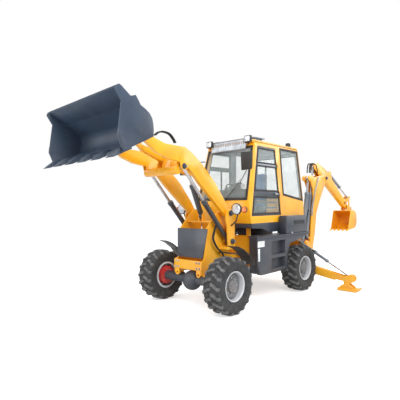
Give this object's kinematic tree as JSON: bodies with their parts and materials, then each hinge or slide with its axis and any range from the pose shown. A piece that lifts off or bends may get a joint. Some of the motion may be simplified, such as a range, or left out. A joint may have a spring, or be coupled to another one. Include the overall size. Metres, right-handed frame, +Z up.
{
  "type": "articulated backhoe loader",
  "caption": "Articulated backhoe loader with glazed cab, front shovel on a Z-bar linkage, side-shift rear digger and folding stabiliser legs.",
  "frame": {"origin": "on the ground, on the centre plane, at the middle of the overall box", "axes": "+X towards the loader bucket, +Y to the machine's left, +Z up"},
  "size_m": [9.04, 4.136, 3.6096],
  "materials": {
    "axle_grey": "satin dark grey paint on castings",
    "black_plastic": "grained black plastic",
    "chrome": "bright chrome",
    "dark_grey": "satin slate grey paint",
    "glass": "clear tinted glass",
    "lamp": "black housings with clear and amber lenses",
    "ram_tube": "satin dark grey paint",
    "rim_paint": "satin silver grey paint",
    "seat_vinyl": "black vinyl",
    "silver_sheet": "bright perforated sheet",
    "tyre": "matt lugged tyre",
    "yellow": "glossy warm yellow paint"
  },
  "bodies": {
    "rear_frame": {"rear_chassis": "yellow", "rear_axle": "axle_grey", "engine_block": "axle_grey", "side_tanks": "dark_grey", "toolboxes": "dark_grey", "cab_skirt": "dark_grey", "cab_shell": "yellow", "cab_roof": "yellow", "cab_glass": "glass", "sun_visor": "silver_sheet", "roof_lamps": "lamp", "mirrors": "black_plastic", "seat": "seat_vinyl", "console": "black_plastic"},
    "front_frame": {"front_chassis": "yellow", "front_axle": "axle_grey", "nose_cover": "dark_grey", "front_fenders": "black_plastic", "headlamps": "lamp"},
    "lift_arms": {"lift_arms": "yellow"},
    "lift_barrels": {"lift_barrels": "ram_tube"},
    "lift_rods": {"lift_rods": "chrome"},
    "tilt_barrel": {"tilt_barrel": "ram_tube"},
    "tilt_rod": {"tilt_rod": "chrome"},
    "rocker": {"rocker": "yellow"},
    "bucket_link": {"bucket_link": "yellow"},
    "loader_bucket": {"loader_bucket": "dark_grey"},
    "shift_carriage": {"shift_carriage": "yellow"},
    "swing_post": {"swing_post": "yellow"},
    "boom": {"boom": "yellow"},
    "boom_barrel": {"boom_barrel": "ram_tube"},
    "boom_rod": {"boom_rod": "chrome"},
    "dipper": {"dipper": "yellow"},
    "dipper_barrel": {"dipper_barrel": "ram_tube"},
    "dipper_rod": {"dipper_rod": "chrome"},
    "dig_barrel": {"dig_barrel": "ram_tube"},
    "dig_rod": {"dig_rod": "chrome"},
    "tipping_lever": {"tipping_lever": "yellow"},
    "push_link": {"push_link": "yellow"},
    "dig_bucket": {"dig_bucket": "yellow"},
    "wheel_front_left": {"tyre_front_left": "tyre", "rim_front_left": "rim_paint"},
    "wheel_front_right": {"tyre_front_right": "tyre", "rim_front_right": "rim_paint"},
    "wheel_rear_left": {"tyre_rear_left": "tyre", "rim_rear_left": "rim_paint"},
    "wheel_rear_right": {"tyre_rear_right": "tyre", "rim_rear_right": "rim_paint"},
    "door_left": {"door_left": "dark_grey", "door_glass_left": "glass"},
    "leg_left": {"leg_left": "yellow"},
    "pad_left": {"pad_left": "yellow"},
    "leg_barrel_left": {"leg_barrel_left": "ram_tube"},
    "leg_rod_left": {"leg_rod_left": "chrome"},
    "door_right": {"door_right": "dark_grey", "door_glass_right": "glass"},
    "leg_right": {"leg_right": "yellow"},
    "pad_right": {"pad_right": "yellow"},
    "leg_barrel_right": {"leg_barrel_right": "ram_tube"},
    "leg_rod_right": {"leg_rod_right": "chrome"}
  },
  "joints": [
    {"name": "wheel_front_left_spin", "type": "hinge", "parent": "front_frame", "child": "wheel_front_left", "pos_m": [1.98, 0.915, 0.522], "axis": [0, 1, 0], "continuous": true},
    {"name": "wheel_front_right_spin", "type": "hinge", "parent": "front_frame", "child": "wheel_front_right", "pos_m": [1.98, -0.915, 0.522], "axis": [0, 1, 0], "continuous": true},
    {"name": "wheel_rear_left_spin", "type": "hinge", "parent": "rear_frame", "child": "wheel_rear_left", "pos_m": [-0.64, 0.915, 0.522], "axis": [0, 1, 0], "continuous": true},
    {"name": "wheel_rear_right_spin", "type": "hinge", "parent": "rear_frame", "child": "wheel_rear_right", "pos_m": [-0.64, -0.915, 0.522], "axis": [0, 1, 0], "continuous": true},
    {"name": "steering", "type": "hinge", "parent": "rear_frame", "child": "front_frame", "pos_m": [0.67, 0, 0.79], "axis": [0, 0, 1], "range_deg": [-30, 30]},
    {"name": "arm_lift", "type": "hinge", "parent": "front_frame", "child": "lift_arms", "pos_m": [1.47, 0, 1.826], "axis": [0, -1, 0], "range_deg": [-75, 15]},
    {"name": "lift_barrel_pivot", "type": "hinge", "parent": "front_frame", "child": "lift_barrels", "pos_m": [1.425, 0, 1.262], "axis": [0, -1, 0], "range_deg": [-65.6, 14.72]},
    {"name": "lift_rod_slide", "type": "slide", "parent": "lift_barrels", "child": "lift_rods", "axis": [0.6632, 0, 0.7484], "range_m": [-0.6202, 0.128]},
    {"name": "bucket_tilt", "type": "hinge", "parent": "lift_arms", "child": "loader_bucket", "pos_m": [3.6, 0, 3.18], "axis": [0, -1, 0], "range_deg": [-8, 125]},
    {"name": "rocker_pivot", "type": "hinge", "parent": "lift_arms", "child": "rocker", "pos_m": [2.67, 0, 2.85], "axis": [0, -1, 0], "range_deg": [-46.43, 4.84]},
    {"name": "bucket_link_pivot", "type": "hinge", "parent": "rocker", "child": "bucket_link", "pos_m": [3.19, 0, 2.99], "axis": [0, -1, 0], "range_deg": [-7.57, 89.08]},
    {"name": "tilt_barrel_pivot", "type": "hinge", "parent": "front_frame", "child": "tilt_barrel", "pos_m": [1.694, 0, 1.769], "axis": [0, -1, 0], "range_deg": [-89.87, 19.57]},
    {"name": "tilt_rod_slide", "type": "slide", "parent": "tilt_barrel", "child": "tilt_rod", "axis": [0.3859, 0, 0.9225], "range_m": [-0.0348, 0.4704]},
    {"name": "side_shift", "type": "slide", "parent": "rear_frame", "child": "shift_carriage", "axis": [0, 1, 0], "range_m": [-1.1, 0]},
    {"name": "boom_swing", "type": "hinge", "parent": "shift_carriage", "child": "swing_post", "pos_m": [-1.62, 0.55, 0.65], "axis": [0, 0, 1], "range_deg": [-85, 85]},
    {"name": "boom_lift", "type": "hinge", "parent": "swing_post", "child": "boom", "pos_m": [-1.78, 0.55, 0.62], "axis": [0, -1, 0], "range_deg": [-5, 100]},
    {"name": "boom_barrel_pivot", "type": "hinge", "parent": "swing_post", "child": "boom_barrel", "pos_m": [-1.49, 0.55, 1], "axis": [0, -1, 0], "range_deg": [-6.89, 99.8]},
    {"name": "boom_rod_slide", "type": "slide", "parent": "boom_barrel", "child": "boom_rod", "axis": [-0.2176, 0, 0.976], "range_m": [-0.0424, 0.752]},
    {"name": "dipper_lift", "type": "hinge", "parent": "boom", "child": "dipper", "pos_m": [-2.74, 0.55, 2.72], "axis": [0, -1, 0], "range_deg": [-50, 40]},
    {"name": "dipper_barrel_pivot", "type": "hinge", "parent": "boom", "child": "dipper_barrel", "pos_m": [-1.73, 0.55, 1.12], "axis": [0, -1, 0], "range_deg": [-4.42, 3.93]},
    {"name": "dipper_rod_slide", "type": "slide", "parent": "dipper_barrel", "child": "dipper_rod", "axis": [-0.2092, 0, 0.9779], "range_m": [-0.5557, 0.4455]},
    {"name": "dig_bucket_curl", "type": "hinge", "parent": "dipper", "child": "dig_bucket", "pos_m": [-4.26, 0.55, 1.9], "axis": [0, -1, 0], "range_deg": [-100, 25]},
    {"name": "tipping_lever_pivot", "type": "hinge", "parent": "dipper", "child": "tipping_lever", "pos_m": [-4.07, 0.55, 2.03], "axis": [0, -1, 0], "range_deg": [-61.03, 16.76]},
    {"name": "push_link_pivot", "type": "hinge", "parent": "tipping_lever", "child": "push_link", "pos_m": [-4.43, 0.55, 2.2], "axis": [0, -1, 0], "range_deg": [-9.86, 33.44]},
    {"name": "dig_barrel_pivot", "type": "hinge", "parent": "dipper", "child": "dig_barrel", "pos_m": [-3.08, 0.55, 2.89], "axis": [0, -1, 0], "range_deg": [-6.91, 3.23]},
    {"name": "dig_rod_slide", "type": "slide", "parent": "dig_barrel", "child": "dig_rod", "axis": [-0.8904, 0, -0.4551], "range_m": [-0.3836, 0.0996]},
    {"name": "leg_swing_left", "type": "hinge", "parent": "rear_frame", "child": "leg_left", "pos_m": [-1.275, 0.4, 0.62], "axis": [1, 0, 0], "range_deg": [-6, 72]},
    {"name": "leg_barrel_pivot_left", "type": "hinge", "parent": "rear_frame", "child": "leg_barrel_left", "pos_m": [-1.275, 0.53, 1.09], "axis": [1, 0, 0], "range_deg": [-8.9, 84.8]},
    {"name": "leg_rod_slide_left", "type": "slide", "parent": "leg_barrel_left", "child": "leg_rod_left", "axis": [0, 0.8636, -0.5043], "range_m": [-0.5454, 0.05]},
    {"name": "pad_swivel_left", "type": "hinge", "parent": "leg_left", "child": "pad_left", "pos_m": [-1.275, 1.79, 0.125], "axis": [1, 0, 0], "range_deg": [-40, 40]},
    {"name": "door_left_hinge", "type": "hinge", "parent": "rear_frame", "child": "door_left", "pos_m": [-0.179, 0.744, 1.75], "axis": [0.0728, -0.0523, 0.996], "range_deg": [0, 80]},
    {"name": "leg_swing_right", "type": "hinge", "parent": "rear_frame", "child": "leg_right", "pos_m": [-1.275, -0.4, 0.62], "axis": [-1, 0, 0], "range_deg": [-6, 72]},
    {"name": "leg_barrel_pivot_right", "type": "hinge", "parent": "rear_frame", "child": "leg_barrel_right", "pos_m": [-1.275, -0.53, 1.09], "axis": [-1, 0, 0], "range_deg": [-8.9, 84.8]},
    {"name": "leg_rod_slide_right", "type": "slide", "parent": "leg_barrel_right", "child": "leg_rod_right", "axis": [0, -0.8636, -0.5043], "range_m": [-0.5454, 0.05]},
    {"name": "pad_swivel_right", "type": "hinge", "parent": "leg_right", "child": "pad_right", "pos_m": [-1.275, -1.79, 0.125], "axis": [-1, 0, 0], "range_deg": [-40, 40]},
    {"name": "door_right_hinge", "type": "hinge", "parent": "rear_frame", "child": "door_right", "pos_m": [-0.179, -0.744, 1.75], "axis": [-0.0728, -0.0523, -0.996], "range_deg": [0, 80]}
  ],
  "couplings": [
    {"joint": "lift_barrel_pivot", "follows": "arm_lift", "ratio": 0.848},
    {"joint": "lift_rod_slide", "follows": "arm_lift", "m_per_rad": 0.47},
    {"joint": "rocker_pivot", "follows": "bucket_tilt", "ratio": -0.35541},
    {"joint": "bucket_link_pivot", "follows": "bucket_tilt", "ratio": 0.6966},
    {"joint": "tilt_barrel_pivot", "follows": "arm_lift", "ratio": 1.1716},
    {"joint": "tilt_rod_slide", "follows": "bucket_tilt", "m_per_rad": 0.21332},
    {"joint": "boom_barrel_pivot", "follows": "boom_lift", "ratio": 0.978},
    {"joint": "boom_rod_slide", "follows": "boom_lift", "m_per_rad": 0.428},
    {"joint": "dipper_barrel_pivot", "follows": "dipper_lift", "ratio": 0.04837},
    {"joint": "dipper_rod_slide", "follows": "dipper_lift", "m_per_rad": 0.63102},
    {"joint": "tipping_lever_pivot", "follows": "dig_bucket_curl", "ratio": 0.59026},
    {"joint": "push_link_pivot", "follows": "dig_bucket_curl", "ratio": -0.31442},
    {"joint": "dig_barrel_pivot", "follows": "dig_bucket_curl", "ratio": 0.04909},
    {"joint": "dig_rod_slide", "follows": "dig_bucket_curl", "m_per_rad": 0.21691},
    {"joint": "leg_barrel_pivot_left", "follows": "leg_swing_left", "ratio": 1.15},
    {"joint": "leg_rod_slide_left", "follows": "leg_swing_left", "m_per_rad": -0.43},
    {"joint": "leg_barrel_pivot_right", "follows": "leg_swing_right", "ratio": 1.15},
    {"joint": "leg_rod_slide_right", "follows": "leg_swing_right", "m_per_rad": -0.43}
  ]
}
